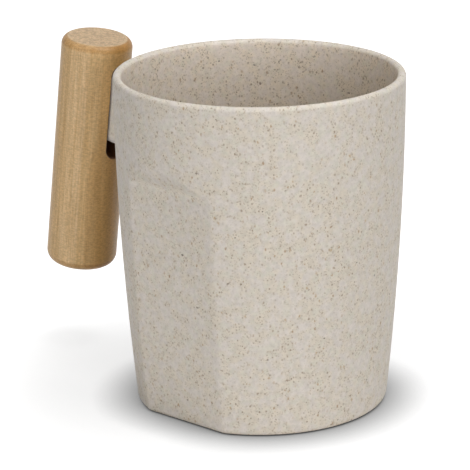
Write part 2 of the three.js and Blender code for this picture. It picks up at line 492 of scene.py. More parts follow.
@dataclass(frozen=True)
class CompositeFinish:
    """Matte moulded plastic, filled with ground husk that shows as fine flecks.

    Painted light makes the inside and the moulded edges paler than the rest, and painted shade makes the
    crease over a flat darker.
    """

    clear: Colour = (0.655, 0.600, 0.548)
    crowded: Colour = (0.648, 0.582, 0.490)
    olive: Colour = (0.628, 0.598, 0.508)
    # Painted light: the inside is made paler by this factor, most under the lip.
    inside: Colour = (1.37, 1.34, 1.31)
    # Painted light: the lip and the tongue are made paler by this factor.
    edges: Colour = (1.17, 1.19, 1.22)
    # Painted shade: the crease over each flat is darkened by this factor.
    crease: float = 0.87
    cloud: float = 2.4 * MM
    cloud_range: Span = (0.48, 0.68)
    cloud_share: float = 0.65
    mottle: float = 1.3 * MM
    mottle_range: Span = (0.25, 0.75)
    mottle_depth: float = 0.075
    crowd: float = 3.2 * MM
    crowd_range: Span = (0.36, 0.62)
    sparse_flecks: float = 0.25
    edge_flecks: float = 0.3
    fleck_core: float = 0.45
    ragged: float = 0.55 * MM
    raggedness: float = 0.45 * MM
    grit: float = 0.45 * MM
    grit_range: Span = (0.3, 0.7)
    grit_depth: float = 0.012 * MM
    roughness: Span = (0.46, 0.60)
    specular: float = 0.15
    flecks: tuple[Flecks, ...] = (
        Flecks(
            spacing=0.64 * MM,
            smallest=0.11 * MM,
            largest=0.35 * MM,
            stretch=(1.0, 1.0, 1.0),
            turn=(0, 0, 0),
            pale=(0.49, 0.415, 0.335),
            deep=(0.36, 0.285, 0.22),
            strength=0.68,
        ),
        Flecks(
            spacing=0.95 * MM,
            smallest=0.10 * MM,
            largest=0.41 * MM,
            stretch=(1.0, 1.0, 1.3),
            turn=(35, 10, 60),
            pale=(0.43, 0.345, 0.26),
            deep=(0.28, 0.208, 0.15),
            strength=0.82,
        ),
        Flecks(
            spacing=1.5 * MM,
            smallest=0.09 * MM,
            largest=0.47 * MM,
            stretch=(1.0, 1.0, 1.6),
            turn=(25, 40, 10),
            pale=(0.50, 0.36, 0.22),
            deep=(0.36, 0.235, 0.14),
            strength=0.80,
        ),
        Flecks(
            spacing=3.2 * MM,
            smallest=0.05 * MM,
            largest=0.42 * MM,
            stretch=(1.5, 1.0, 1.0),
            turn=(60, 15, 75),
            pale=(0.22, 0.16, 0.11),
            deep=(0.08, 0.06, 0.05),
            strength=0.85,
        ),
    )

    def build(self) -> bpy.types.Material:
        """Make the material."""
        shading = Shading("speckled_composite")
        crowd = shading.noise((self.crowd,) * 3, shift=(5, 2, 9))
        colour = shading.mix(shading.ramp(crowd, *self.crowd_range), self.clear, self.crowded)
        cloud = shading.noise((self.cloud,) * 3)
        clouded = shading.ramp(cloud, *self.cloud_range, 0.0, self.cloud_share)
        colour = shading.mix(clouded, colour, self.olive)
        mottle = shading.noise((self.mottle,) * 3, detail=3, roughness=0.6, shift=(4, 1, 7))
        level = shading.ramp(mottle, *self.mottle_range, 1 - self.mottle_depth, 1 + self.mottle_depth)
        colour = shading.lit(colour, level)
        # Painted light makes the inside and the moulded edges paler.
        edge = shading.mark(Mark.ARRIS)
        for place, shade in ((shading.mark(Mark.INSIDE), self.inside), (edge, self.edges)):
            colour = shading.mix(place, colour, shading.mix(1.0, colour, shade, "MULTIPLY"))
        # Painted shade in the crease over each flat.
        level = shading.ramp(shading.mark(Mark.CREASE), 0.0, 1.0, 1.0, self.crease)
        colour = shading.lit(colour, level)
        crowding = shading.ramp(crowd, *self.crowd_range, self.sparse_flecks, 1.0)
        spared = shading.ramp(edge, 0.0, 1.0, 1.0, self.edge_flecks)
        crowding = shading.math("MULTIPLY", crowding, spared)
        warped = shading.warped(self.ragged, self.raggedness)
        for flecks in self.flecks:
            share, tint = self.fleck(shading, flecks, warped)
            share = shading.math("MULTIPLY", share, crowding)
            colour = shading.mix(shading.math("MULTIPLY", share, flecks.strength), colour, tint)
        grit = shading.noise((self.grit,) * 3)
        shading.put("Base Color", colour)
        shading.put("Roughness", shading.ramp(grit, *self.grit_range, *self.roughness))
        shading.put("Specular IOR Level", self.specular)
        shading.bump(grit, self.grit_depth)
        return shading.material

    def fleck(self, shading: Shading, flecks: Flecks, places: Socket) -> tuple[Socket, Socket]:
        """Scatter one kind of fleck.

        Args:
            shading: the material's tree.
            flecks: the kind of fleck.
            places: the places to scatter them over.

        Returns:
            How much of a fleck each place shows, and the fleck's colour.
        """
        cell = tuple(flecks.spacing * length for length in flecks.stretch)
        inputs = {"Vector": shading.scaled(cell, flecks.turn, places=places), "Scale": 1.0}
        cells = shading.node("ShaderNodeTexVoronoi", inputs)
        chance = shading.node("ShaderNodeSeparateColor", {0: cells.outputs["Color"]})
        smallest = flecks.smallest / flecks.spacing
        largest = flecks.largest / flecks.spacing
        edge = shading.math("MULTIPLY_ADD", chance.outputs[0], largest - smallest, smallest)
        core = shading.math("MULTIPLY", edge, self.fleck_core)
        share = shading.ramp(cells.outputs["Distance"], core, edge, 1.0, 0.0)
        return share, shading.mix(chance.outputs[1], flecks.pale, flecks.deep)


@dataclass(frozen=True)
class WoodFinish:
    """Pale close-grained wood under a thin coat of oil, with its grain along the bar's own Z axis.

    Bands lie across the bar along one fixed direction: a paler band, painted shade on the side towards the
    cup, and painted shade along the outer edge away from it.
    """

    name: str
    place: Matrix
    early: Colour = (0.690, 0.475, 0.238)
    late: Colour = (0.520, 0.310, 0.120)
    pale_band: Colour = (0.770, 0.560, 0.325)
    # Painted shade for the side towards the cup and for the outer edge.
    painted_shade: Colour = (0.500, 0.265, 0.066)
    end: Colour = (0.530, 0.370, 0.212)
    chamfer: Colour = (0.75, 0.665, 0.555)
    # Painted shade in the slot and the screw holes.
    cut: Colour = (0.120, 0.050, 0.018)
    pore: Colour = (0.360, 0.200, 0.075)
    # Painted highlight on the arrises of the ends.
    painted_arris_highlight: Colour = (0.720, 0.540, 0.320)
    pith: Span = (34 * MM, -18 * MM)
    ring_width: float = 2.1 * MM
    ring_sway: Triple = (9 * MM, 9 * MM, 60 * MM)
    waver: float = 1.4
    late_rise: Span = (0.25, 0.90)
    late_fall: Span = (0.92, 1.0)
    late_share: float = 0.55
    band_turn: float = 41.5
    band_sway: Triple = (3 * MM, 3 * MM, 40 * MM)
    band_reach: float = 1.2 * MM
    pale_band_rise: Span = (-9.0 * MM, -6.0 * MM)
    pale_band_fall: Span = (-2.0 * MM, -1.0 * MM)
    pale_band_share: float = 0.75
    cup_side_shade_rise: Span = (0.0 * MM, 9.0 * MM)
    cup_side_shade_share: float = 0.75
    outer_edge_shade_fall: Span = (-11.0 * MM, -8.5 * MM)
    outer_edge_shade_share: float = 0.30
    fibre: Triple = (0.32 * MM, 0.32 * MM, 16 * MM)
    fibre_range: Span = (0.34, 0.70)
    fibre_share: float = 0.62
    fibre_depth: float = 0.02 * MM
    vessel: Triple = (0.22 * MM, 0.22 * MM, 3.0 * MM)
    vessel_range: Span = (0.59, 0.72)
    vessel_share: float = 0.34
    ripple: Triple = (1.0 * MM, 1.0 * MM, 0.48 * MM)
    ripple_levels: Span = (0.87, 1.13)
    blush: Triple = (4.5 * MM, 4.5 * MM, 22 * MM)
    blush_levels: Span = (0.95, 1.05)
    speck: float = 0.95 * MM
    speck_levels: Span = (1.22, 0.70)
    end_pore_range: Span = (0.56, 0.72)
    end_pore_share: float = 0.6
    chamfer_range: Span = (0.0, 0.35)
    end_range: Span = (0.9, 1.0)
    slot_shade_range: Span = (0.1, 0.9)
    arris_highlight_share: float = 0.35
    middle_range: Span = (0.3, 0.7)
    roughness: Span = (0.32, 0.46)
    specular: float = 0.22

    def build(self) -> bpy.types.Material:
        """Make the material."""
        shading = Shading(self.name, self.place)
        fibre = shading.noise(self.fibre, detail=3, roughness=0.6)
        colour = shading.mix(self.rings(shading), self.early, self.late)
        # A paler band, then painted shade towards the cup and along the outer edge.
        pale, painted_shade = self.bands(shading)
        colour = shading.mix(pale, colour, self.pale_band)
        colour = shading.mix(painted_shade, colour, self.painted_shade)
        late = shading.ramp(fibre, *self.fibre_range, 0.0, self.fibre_share)
        colour = shading.mix(late, colour, self.late)
        vessel = shading.noise(self.vessel, detail=1, shift=(3, 7, 1))
        pores = shading.ramp(vessel, *self.vessel_range, 0.0, self.vessel_share)
        colour = shading.mix(pores, colour, self.pore)
        ripple = shading.noise(self.ripple, roughness=0.6, shift=(11, 4, 6))
        colour = shading.lit(colour, shading.ramp(ripple, *self.middle_range, *self.ripple_levels))
        blush = shading.noise(self.blush, shift=(1, 9, 3))
        colour = shading.lit(colour, shading.ramp(blush, *self.middle_range, *self.blush_levels))
        end = shading.mark(Mark.END_GRAIN)
        tinted = shading.mix(1.0, colour, self.chamfer, "MULTIPLY")
        colour = shading.mix(shading.ramp(end, *self.chamfer_range), colour, tinted)
        colour = shading.mix(shading.ramp(end, *self.end_range), colour, self.end_grain(shading))
        # Painted highlight along the arris between each end's face and its chamfer.
        painted_arris_highlight = shading.math("MULTIPLY", shading.mark(Mark.ARRIS), self.arris_highlight_share)
        colour = shading.mix(painted_arris_highlight, colour, self.painted_arris_highlight)
        # Painted shade in the slot and the screw holes.
        cut = shading.ramp(shading.mark(Mark.INSIDE), *self.slot_shade_range)
        colour = shading.mix(cut, colour, self.cut)
        shading.put("Base Color", colour)
        shading.put("Roughness", shading.ramp(fibre, *self.middle_range, *self.roughness))
        shading.put("Specular IOR Level", self.specular)
        shading.bump(fibre, self.fibre_depth)
        return shading.material

    def end_grain(self, shading: Shading) -> Socket:
        """Give the colour of wood cut across its grain, mottled by its pores."""
        speck = shading.noise((self.speck,) * 3, detail=3, roughness=0.65, shift=(6, 2, 5))
        mottled = shading.lit(self.end, shading.ramp(speck, *self.middle_range, *self.speck_levels))
        pores = shading.noise((self.speck / 2,) * 3, detail=1, shift=(2, 5, 1))
        share = shading.ramp(pores, *self.end_pore_range, 0.0, self.end_pore_share)
        return shading.mix(share, mottled, self.pore)

    def bands(self, shading: Shading) -> tuple[Socket, Socket]:
        """Give the shares of a paler band and of painted shade at each place across the bar."""
        turn = math.radians(self.band_turn)
        inputs = {0: shading.place, 1: (math.cos(turn), math.sin(turn), 0)}
        depth = shading.node("ShaderNodeVectorMath", inputs, operation="DOT_PRODUCT").outputs["Value"]
        sway = shading.noise(self.band_sway, shift=(7, 3, 2))
        sway = shading.math("SUBTRACT", sway, 0.5)
        depth = shading.math("MULTIPLY_ADD", sway, self.band_reach, depth)
        # A paler band, painted shade on the side towards the cup, and painted shade along the outer edge.
        pale = shading.rise_and_fall(depth, self.pale_band_rise, self.pale_band_fall, self.pale_band_share)
        painted_shade = shading.ramp(depth, *self.cup_side_shade_rise, 0.0, self.cup_side_shade_share)
        outer_edge_shade = shading.ramp(depth, *self.outer_edge_shade_fall, self.outer_edge_shade_share, 0.0)
        return pale, shading.math("ADD", painted_shade, outer_edge_shade)

    def rings(self, shading: Shading) -> Socket:
        """Give how late in its year's growth the wood is at each place, from 0 to 1."""
        axes = shading.node("ShaderNodeSeparateXYZ", {0: shading.place})
        across = [shading.math("SUBTRACT", axes.outputs[i], self.pith[i]) for i in range(2)]
        flat = shading.node("ShaderNodeCombineXYZ", {0: across[0], 1: across[1]}).outputs[0]
        radius = shading.node("ShaderNodeVectorMath", {0: flat}, operation="LENGTH").outputs["Value"]
        sway = shading.noise(self.ring_sway, shift=(2, 8, 4))
        years = shading.math("DIVIDE", radius, self.ring_width)
        years = shading.math("MULTIPLY_ADD", sway, self.waver, years)
        season = shading.math("FRACT", years)
        return shading.rise_and_fall(season, self.late_rise, self.late_fall, self.late_share)


@dataclass(frozen=True)
class SteelFinish:
    """Plain drawn steel."""

    colour: Colour = (0.56, 0.57, 0.58)
    dull: Colour = (0.42, 0.42, 0.43)
    streak: Triple = (2 * MM, 0.2 * MM, 0.2 * MM)
    streak_range: Span = (0.3, 0.7)
    streak_depth: float = 0.01 * MM
    roughness: Span = (0.25, 0.42)

    def build(self) -> bpy.types.Material:
        """Make the material."""
        shading = Shading("screw_steel")
        streak = shading.noise(self.streak, detail=3)
        share = shading.ramp(streak, *self.streak_range)
        shading.put("Base Color", shading.mix(share, self.colour, self.dull))
        shading.put("Metallic", 1.0)
        shading.put("Roughness", shading.ramp(streak, *self.streak_range, *self.roughness))
        shading.bump(streak, self.streak_depth)
        return shading.material


@dataclass(frozen=True)
class Tongue:
    """The moulded tongue that goes from the cup's wall into the slot of the bar."""

    width: float = 5.6 * MM
    height: float = 20.1 * MM
    edge: float = 0.8 * MM
    fillet: float = 1.3 * MM
    tip: float = 1.0 * MM
    pilot_depth: float = 9.3 * MM
    fillet_steps: int = 6
    side_steps: int = 8
    edge_steps: int = 4

    def section(self, places: np.ndarray) -> tuple[np.ndarray, np.ndarray]:
        """Draw points in to the tongue's section.

        Args:
            places: points round the section, with their places across it and along it.

        Returns:
            The points on the section's outline, and the direction out of it at each.
        """
        core = np.array([0, (self.height - self.width) / 2])
        inner = np.clip(places, -core, core)
        out = places - inner
        out /= np.linalg.norm(out, axis=1, keepdims=True)
        return inner + out * self.width / 2, out


@dataclass(frozen=True)
class Cup:
    """The moulded cup: a bowed wall with a rounded lip, a flat low on each side, and the tongue."""

    height: float = 100 * MM
    rim_radius: float = 43 * MM
    base_radius: float = 37.5 * MM
    bow: float = 1.3 * MM
    wall: float = 2.5 * MM
    floor: float = 3 * MM
    foot: float = 2 * MM
    inner_corner: float = 6 * MM
    pad_radius: float = 12 * MM
    relief_radius: float = 28.4 * MM
    relief: float = 0.6 * MM
    relief_ease: float = 0.3 * MM
    relief_steps: int = 3
    under_step: float = 3 * MM
    foot_margin: float = 0.5 * MM
    flat_depth: float = 3.1 * MM
    flat_top: float = 72.0 * MM
    flat_runout: float = 8.5 * MM
    edge_blend: float = 0.35 * MM
    root_blend: float = 0.5 * MM
    lip_painted_light: float = 0.2
    deep_inside_light: float = 0.2
    inside_light_fade: float = 14 * MM
    crease_level: float = 75.2 * MM
    crease_spread: float = 2.2 * MM
    crease_depth: float = 0.2 * MM
    foot_steps: int = 8
    lip_steps: int = 16
    corner_steps: int = 10
    floor_shares: Triple = (0.8, 0.5, 0.2)
    least_sine: float = 0.1
    tongue: Tongue = Tongue()

    def round_radius(self, level: Any) -> Any:
        """Give the wall's outer radius at a level, as if there were no flats."""
        share = level / self.height
        bow = 4 * self.bow * share * (1 - share)
        return self.base_radius + (self.rim_radius - self.base_radius) * share + bow

    def flat_distance(self, level: Any) -> Any:
        """Give the distance of a flat from the axis at a level, with the shoulder by which it runs out."""
        # The shoulder is a parabola that leaves the round wall without a corner.
        left = (self.flat_top + self.flat_runout - level) / self.flat_runout
        shoulder = self.flat_depth * left * abs(left)
        return self.round_radius(level) - soft_min(self.flat_depth, shoulder, self.root_blend)

    def radius(self, angles: np.ndarray, level: float, inset: float) -> np.ndarray:
        """Give the wall's radius all round at a level.

        Args:
            angles: directions from the axis.
            level: height above the table.
            inset: how far inside the outer face.

        Returns:
            The radius in each direction.
        """
        towards_flat = np.maximum(np.abs(np.sin(angles)), self.least_sine)
        flat = (self.flat_distance(level) - inset) / towards_flat
        return soft_min(self.round_radius(level) - inset, flat, self.edge_blend)

    def crease(self, angles: np.ndarray, level: float) -> np.ndarray:
        """Give how much painted shade falls in the crease under a flat's shoulder, from 0 to 1 in each
        direction.
        """
        sunk = self.round_radius(level) - self.radius(angles, level, 0)
        away = (level - self.crease_level) / self.crease_spread
        return np.clip(sunk / self.crease_depth, 0, 1) * math.exp(-away * away)

    def directions(self) -> np.ndarray:
        """Give the columns' angles all round, finer at the flats' edges and at the tongue.

        The stretches are in degrees from +X, over the half with the +Y flat. The other half mirrors them.
        """
        front = spans((0, 63, 36), (63, 71.5, 20), (71.5, 90, 20))
        back = spans((90, 108.5, 20), (108.5, 117, 20), (117, 168, 30), (168, 180, 20))
        half = np.concatenate([front, back[1:]])
        return np.radians(np.concatenate([half, 360 - half[-2:0:-1]]))

    def build(self, bar_place: Matrix, pilots: list[tuple[float, float]], pilot_radius: float) -> Skin:
        """Make the cup with its tongue.

        Args:
            bar_place: the place of the bar that the tongue goes into.
            pilots: where the screws go into the tongue's end, across it and along it.
            pilot_radius: radius of the holes for them.

        Returns:
            The cup's form.
        """
        skin = Skin()
        angles = self.directions()
        outside = np.stack([np.cos(angles), np.sin(angles)], axis=1)

        def ring(radii: Any, level: float) -> np.ndarray:
            """Give a row of points round the axis, at one radius or at one in each direction."""
            flat = outside * np.broadcast_to(radii, angles.shape)[:, None]
            return np.column_stack([flat, np.full(len(angles), level)])

        under = self.under_rings(ring, angles)
        first = skin.row(under[0])
        skin.fan(first, np.zeros(3))
        last = skin.run(first, under[1:])
        lip = self.height - self.wall / 2
        rows = [last]
        for level in self.wall_levels(lip):
            # Painted shade in the crease under each flat's shoulder.
            crease = {Mark.CREASE: self.crease(angles, level)}
            rows.append(skin.row(ring(self.radius(angles, level, 0), level), crease))
        self.join_wall(skin, rows, bar_place, pilots, pilot_radius)
        inner = self.inner_rings(ring, angles, lip)
        last = rows[-1]
        # The inner half of the lip takes on the painted light of the inside, and a little painted light of
        # the moulded edges.
        for step, places in enumerate(inner[:self.lip_steps], 1):
            past_top = max(0.0, 2 * step / self.lip_steps - 1) ** 2
            last = skin.run(last, [places], {Mark.ARRIS: self.lip_painted_light, Mark.INSIDE: past_top})
        # Painted light inside the cup: palest under the lip and fading further down.
        for places in inner[self.lip_steps:]:
            last = skin.run(last, [places], {Mark.INSIDE: self.inside(lip - places[0, 2])})
        skin.fan(last, np.array([0, 0, self.floor]), {Mark.INSIDE: self.inside(lip - self.floor)})
        return skin

    def wall_levels(self, lip: float) -> np.ndarray:
        """Give the rows' levels from the foot up to the lip, closest together at the flats' shoulders."""
        foot_end = self.foot / MM
        lip_end = lip / MM
        return MM * spans((foot_end, 62, 40), (62, 70, 12), (70, 80, 32), (80, 90, 16), (90, lip_end, 8))[1:]

    def inside(self, depth: float) -> float:
        """Give how much painted light falls on the inside at a depth under the lip, from 0 to 1: most under
        the lip, less further down.
        """
        return self.deep_inside_light + (1 - self.deep_inside_light) * math.exp(-depth / self.inside_light_fade)

    def under_rings(self, ring: RingMaker, angles: np.ndarray) -> list[np.ndarray]:
        """Give the rows of the underside, from its centre pad to the foot of the wall."""
        bevel = self.relief
        path = eased(
            [
                (self.pad_radius / 4, 0),
                (self.pad_radius, 0),
                (self.pad_radius + bevel, self.relief),
                (self.relief_radius - bevel, self.relief),
                (self.relief_radius, 0),
                (self.relief_radius + self.foot, 0),
            ],
            ease=self.relief_ease,
            steps=self.relief_steps,
        )
        rings = [ring(radius, level) for radius, level in divided(path, self.under_step)]
        contact = self.radius(angles, self.foot, 0) - self.foot
        rings.append(ring(contact - self.foot_margin, 0))
        rings.append(ring(contact, 0))
        for turn in quarter_turn(self.foot_steps):
            rings.append(ring(contact + self.foot * math.sin(turn), self.foot * (1 - math.cos(turn))))
        return rings

    def inner_rings(self, ring: RingMaker, angles: np.ndarray, lip: float) -> list[np.ndarray]:
        """Give the rows from the top of the wall over the lip and down to the inner floor."""
        bead = self.wall / 2
        middle = self.radius(angles, lip, bead)
        rings = []
        for turn in np.linspace(0, math.pi, self.lip_steps + 1)[1:]:
            rings.append(ring(middle + bead * math.cos(turn), lip + bead * math.sin(turn)))
        corner = self.floor + self.inner_corner
        for level in MM * spans((lip / MM, 80, 12), (80, 70, 24), (70, corner / MM, 40))[1:]:
            rings.append(ring(self.radius(angles, level, self.wall), level))
        centre = self.radius(angles, corner, self.wall) - self.inner_corner
        for turn in quarter_turn(self.corner_steps):
            reach = centre + self.inner_corner * math.cos(turn)
            rings.append(ring(reach, corner - self.inner_corner * math.sin(turn)))
        for share in self.floor_shares:
            rings.append(ring(centre * share, self.floor))
        return rings

    def join_wall(
        self,
        skin: Skin,
        rows: list[list[int]],
        bar_place: Matrix,
        pilots: list[tuple[float, float]],
        pilot_radius: float,
    ) -> None:
        """Close the outer wall round the root of the tongue, and grow the tongue out of it.

        Args:
            skin: the cup's form.
            rows: the rows of the outer wall.
            bar_place: the place of the bar.
            pilots: where the screws go into the tongue's end.
            pilot_radius: radius of the holes for them.
        """
        tongue = self.tongue
        to_bar = np.array(bar_place.inverted())
        back = len(rows[0]) // 2
        local = [skin.at([row[back]]) @ to_bar[:3, :3].T + to_bar[:3, 3] for row in rows]
        reach = tongue.height / 2 + tongue.fillet
        taken = [i for i, place in enumerate(local) if abs(place[0, 2]) < reach]
        widths = np.abs(skin.at(rows[taken[0]])[:, 1])
        half = next(i for i in range(back) if widths[back + i] > tongue.width / 2 + tongue.fillet)
        columns = range(back - half, back + half)
        for i, (lower, upper) in enumerate(zip(rows, rows[1:])):
            inside = taken[0] <= i < taken[-1]
            skin.band(lower, upper, columns if inside else ())
        loop = skin.window(rows[taken[0]:taken[-1] + 1], columns)
        foot = skin.at(loop) @ to_bar[:3, :3].T + to_bar[:3, 3]
        outline, out = tongue.section(foot[:, 1:])
        root = np.column_stack([foot[:, 0], outline])
        spread = foot - root
        towards_bar = np.array([-1.0, 0, 0])
        rings = []
        for turn in quarter_turn(tongue.fillet_steps):
            rise = towards_bar * tongue.fillet * (1 - math.cos(turn))
            rings.append(root + spread * (1 - math.sin(turn)) + rise)
        start = rings[-1]
        end = np.column_stack([np.full(len(loop), tongue.tip + tongue.edge), outline])
        for share in shares(tongue.side_steps):
            rings.append(start + (end - start) * share)
        for turn in quarter_turn(tongue.edge_steps):
            drawn = outline - out * tongue.edge * (1 - math.cos(turn))
            depth = tongue.tip + tongue.edge * (1 - math.sin(turn))
            rings.append(np.column_stack([np.full(len(loop), depth), drawn]))
        from_bar = np.array(bar_place)
        rings = [ring @ from_bar[:3, :3].T + from_bar[:3, 3] for ring in rings]
        # The tongue gets painted light, and fewer flecks, as a moulded edge.
        last = skin.run(loop, rings, {Mark.ARRIS: 1.0})
        plate = [last]
        for across, along in pilots:
            holes = []
            for depth in (tongue.tip, tongue.tip + tongue.pilot_depth):
                hole = hole_ring(depth, across, along, pilot_radius)
                holes.append(skin.row(hole @ from_bar[:3, :3].T + from_bar[:3, 3]))
            skin.band(*holes)
            skin.faces.append(tuple(holes[1]))
            plate.append(holes[0])
        skin.plates.append(plate)


def hole_ring(depth: float, across: float, along: float, radius: float, sides: int = 24) -> np.ndarray:
    """Give a circle of points round a line that runs through the bar towards the cup.

    Args:
        depth: the circle's place on that line.
        across: the line's place across the bar.
        along: the line's place along the bar.
        radius: the circle's radius.
        sides: how many points.

    Returns:
        The points in the bar's own frame.
    """
    angles = np.linspace(0, 2 * math.pi, sides, endpoint=False)
    places = [np.full(sides, depth), across + radius * np.cos(angles), along + radius * np.sin(angles)]
    return np.column_stack(places)


class Side(Enum):
    """Sides of the bar, as signs along the line towards the cup."""

    CUP = 1
    BACK = -1


@dataclass(frozen=True)
class Hollow:
    """A hollow cut into the bar's round side: a slot with round ends, or a round hole if it isn't long."""

    side: Side
    along: float
    straight: float
    radius: float
    floor: float
    ease: float
    margin: float

    def outline(self, places: np.ndarray) -> tuple[np.ndarray, np.ndarray]:
        """Draw points in to the hollow's middle line.

        Args:
            places: points round the hollow, with their places across the bar and along it.

        Returns:
            The nearest points on the middle line, and the direction out from it at each.
        """
        level = np.clip(places[:, 1], self.along - self.straight, self.along + self.straight)
        middle = np.column_stack([np.zeros(len(places)), level])
        out = places - middle
        return middle, out / np.linalg.norm(out, axis=1, keepdims=True)


@dataclass(frozen=True)
class Bar:
    """The turned wooden bar.

    Its own frame has its origin at the tongue's middle, +X towards the cup and +Z along the bar.
    """

    radius: float = 11 * MM
    length: float = 74.5 * MM
    tilt: float = 7.8
    rise: float = 0.6 * MM
    grip_gap: float = 15.4 * MM
    end_across: float = 2.0 * MM
    end_along: float = 2.4 * MM
    low_along: float = 3.0 * MM
    end_swell: float = 0.5 * MM
    end_steps: int = 13
    hub: float = 0.4 * MM
    arris: float = 0.25 * MM
    top: float = 21.45 * MM
    slot_width: float = 6.2 * MM
    slot_straight: float = 12.05 * MM
    slot_floor: float = 0.7 * MM
    slot_ease: float = 0.5 * MM
    slot_margin: float = 1.0 * MM
    screw_spacing: float = 9 * MM
    screw_hole: float = 1.75 * MM
    counterbore: float = 3.1 * MM
    head_seat: float = -4.4 * MM
    bore_ease: float = 0.15 * MM
    bore_margin: float = 0.6 * MM
    ease_steps: int = 3
    wall_steps: int = 8
    column_step: float = 2.5
    row_step: float = 0.6 * MM

    def place(self, cup: Cup) -> Matrix:
        """Give the place of the bar's own frame beside the cup."""
        lean = math.radians(self.tilt)
        level = cup.height + self.rise - self.top * math.cos(lean)
        reach = cup.round_radius(level) + self.grip_gap + self.radius / math.cos(lean)
        return Matrix.Translation((-reach, 0, level)) @ Matrix.Rotation(lean, 4, "Y")

    def screws(self) -> list[tuple[float, float]]:
        """Give the screws' places across the bar and along it, the upper one first."""
        return [(0.0, self.screw_spacing / 2), (0.0, -self.screw_spacing / 2)]

    def hollows(self) -> list[Hollow]:
        """Give the slot for the tongue and the two counterbores for the screws."""
        slot = Hollow(
            side=Side.CUP,
            along=0,
            straight=self.slot_straight,
            radius=self.slot_width / 2,
            floor=self.slot_floor,
            ease=self.slot_ease,
            margin=self.slot_margin,
        )
        bores = [
            Hollow(
                side=Side.BACK,
                along=along,
                straight=0,
                radius=self.counterbore,
                floor=self.head_seat,
                ease=self.bore_ease,
                margin=self.bore_margin,
            )
            for _, along in self.screws()
        ]
        return [slot, *bores]

    def build(self) -> Skin:
        """Make the bar with its slot and its screw holes."""
        skin = Skin()
        angles = np.radians(np.arange(-90, 270, self.column_step))
        outside = np.stack([np.cos(angles), np.sin(angles)], axis=1)
        bottom = self.top - self.length
        path = divided(self.profile(), self.row_step)
        rim = self.radius - self.end_across
        # The mark of end grain rises along each chamfer and is whole on the flat of the end.
        low = (path[:, 1] - bottom) / self.low_along
        high = (self.top - path[:, 1]) / self.end_along
        ends = np.clip(1 - np.minimum(low, high), 0, 1)
        # The painted highlight lies along the arris between each end's face and its chamfer.
        arrises = np.maximum(0, 1 - np.abs(path[:, 0] - rim) / self.arris)
        rows = []
        for (radius, level), end, arris in zip(path, ends, arrises):
            ring = np.column_stack([outside * radius, np.full(len(angles), level)])
            rows.append(skin.row(ring, {Mark.END_GRAIN: end, Mark.ARRIS: arris}))
        for row, centre in ((rows[0], bottom), (rows[-1], self.top)):
            skin.fan(row, np.array([0, 0, centre]), {Mark.END_GRAIN: 1.0})
        hollows = self.hollows()
        floors = self.cut(skin, rows, path[:, 1], hollows)
        self.drill(skin, floors, hollows)
        return skin

    def profile(self) -> np.ndarray:
        """Give the turned outline from the lower end's middle to the upper end's."""
        upper = self.chamfer(self.end_along) + [0, self.top]
        lower = self.chamfer(self.low_along)[::-1] * [1, -1] + [0, self.top - self.length]
        return np.concatenate([lower, upper])

    def chamfer(self, along: float) -> np.ndarray:
        """Give the swollen outline of an end from its side to its middle, measured from the end's level.

        Args:
            along: the chamfer's length along the bar.

        Returns:
            The distances from the axis and from the end's level.
        """
        share = np.linspace(0, 1, self.end_steps)
        swell = 4 * self.end_swell * share * (1 - share) / math.hypot(self.end_across, along)
        out = self.radius - self.end_across * share + swell * along
        up = swell * self.end_across - along * (1 - share)
        return np.column_stack([np.append(out, self.hub), np.append(up, 0)])

    def cut(
        self,
        skin: Skin,
        rows: list[list[int]],
        levels: np.ndarray,
        hollows: list[Hollow],
    ) -> list[list[int]]:
        """Join the bar's rows, leaving windows for the hollows, and sink the hollows into them.

        Args:
            skin: the bar's form.
            rows: its rows.
            levels: the rows' places along the bar.
            hollows: the hollows to cut.

        Returns:
            The row of points round each hollow's floor.
        """
        windows = []
        middles = {Side.CUP: round(90 / self.column_step), Side.BACK: round(270 / self.column_step)}
        for hollow in hollows:
            half_height = hollow.straight + hollow.radius + hollow.margin
            near = np.flatnonzero(np.abs(levels - hollow.along) < half_height)
            turn = math.degrees(math.asin((hollow.radius + hollow.margin) / self.radius))
            half = math.ceil(turn / self.column_step)
            middle = middles[hollow.side]
            windows.append((range(near[0], near[-1]), range(middle - half, middle + half)))
        for i, (lower, upper) in enumerate(zip(rows, rows[1:])):
            skipped = set()
            for taken, columns in windows:
                if i in taken:
                    skipped |= set(columns)
            skin.band(lower, upper, skipped)
        floors = []
        for hollow, (taken, columns) in zip(hollows, windows):
            loop = skin.window(rows[taken.start:taken.stop + 1], columns)
            floors.append(self.sink(skin, loop, hollow))
        return floors

    def sink(self, skin: Skin, loop: list[int], hollow: Hollow) -> list[int]:
        """Sink a hollow with an eased edge into its window.

        Args:
            skin: the bar's form.
            loop: the numbers of the points round the window.
            hollow: the hollow.

        Returns:
            The numbers of the points round its floor.
        """
        places = skin.at(loop)[:, 1:]
        middle, out = hollow.outline(places)
        mouth = middle + out * (hollow.radius + hollow.ease)
        halfway = self.on_side((places + mouth) / 2, hollow.side)
        brim = self.on_side(mouth, hollow.side)
        last = skin.run(loop, [halfway, brim])
        surface = brim[:, 0]
        sign = hollow.side.value
        rings = []
        for turn in quarter_turn(self.ease_steps):
            drawn = middle + out * (hollow.radius + hollow.ease * (1 - math.sin(turn)))
            depth = surface - sign * hollow.ease * (1 - math.cos(turn))
            rings.append(np.column_stack([depth, drawn]))
        # The hollow's rounded edge and walls carry painted shade.
        last = skin.run(last, rings, {Mark.INSIDE: 1.0})
        start = rings[-1]
        end = np.column_stack([np.full(len(loop), hollow.floor), start[:, 1:]])
        walls = [start + (end - start) * share for share in shares(self.wall_steps)]
        return skin.run(last, walls, {Mark.INSIDE: 1.0})

